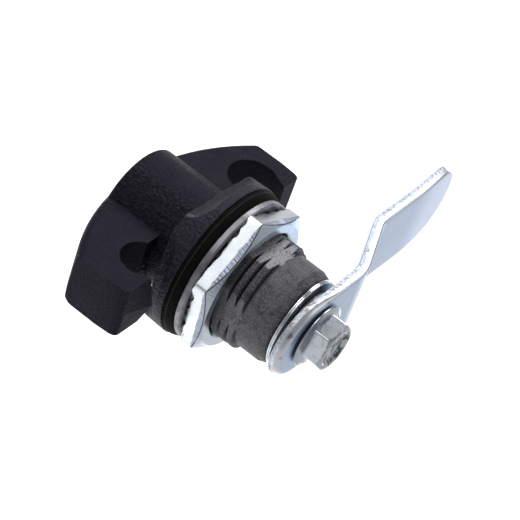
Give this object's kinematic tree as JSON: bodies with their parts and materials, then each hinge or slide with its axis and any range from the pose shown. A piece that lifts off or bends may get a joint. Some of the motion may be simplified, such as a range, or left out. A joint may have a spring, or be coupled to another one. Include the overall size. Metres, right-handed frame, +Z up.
{
  "type": "twist lock latch",
  "caption": "Quarter-turn panel latch: winged knob with padlock notches on a round base, threaded sleeve with gasket, washer and nut, and a cranked cam held by a flanged bolt.",
  "frame": {"origin": "on the latch axis, in the plane of the panel's outer face, where the gasket rests", "axes": "+Y along the latch axis from the knob to the cam, X along the wings with the cam toward -X, +Z up"},
  "size_m": [0.089, 0.0541, 0.0348],
  "materials": {
    "housing": "fine black powder coat, sleeve bare grey-brown",
    "panel_gasket": "matte",
    "flat_washer": "satin zinc",
    "hex_nut": "bright zinc",
    "bearing_bush": "plain",
    "thrust_washer": "plain",
    "stop_pin": "plain",
    "wing_knob": "fine black powder coat",
    "spindle": "turned",
    "front_o_ring": "smooth",
    "rear_o_ring": "smooth",
    "end_washer": "bright",
    "spring_washer": "bright",
    "cam_spacer": "dark",
    "cam": "blue-white zinc",
    "cam_bolt": "bright zinc"
  },
  "bodies": {
    "housing": {"housing": "housing", "panel_gasket": "panel_gasket", "flat_washer": "flat_washer", "hex_nut": "hex_nut", "bearing_bush": "bearing_bush", "thrust_washer": "thrust_washer", "stop_pin": "stop_pin"},
    "knob": {"wing_knob": "wing_knob", "spindle": "spindle", "front_o_ring": "front_o_ring", "rear_o_ring": "rear_o_ring", "end_washer": "end_washer", "spring_washer": "spring_washer", "cam_spacer": "cam_spacer", "cam": "cam", "cam_bolt": "cam_bolt"}
  },
  "joints": [
    {"name": "knob_turn", "type": "hinge", "parent": "housing", "child": "knob", "pos_m": [0, 0, 0], "axis": [0, 1, 0], "range_deg": [0, 90]}
  ]
}
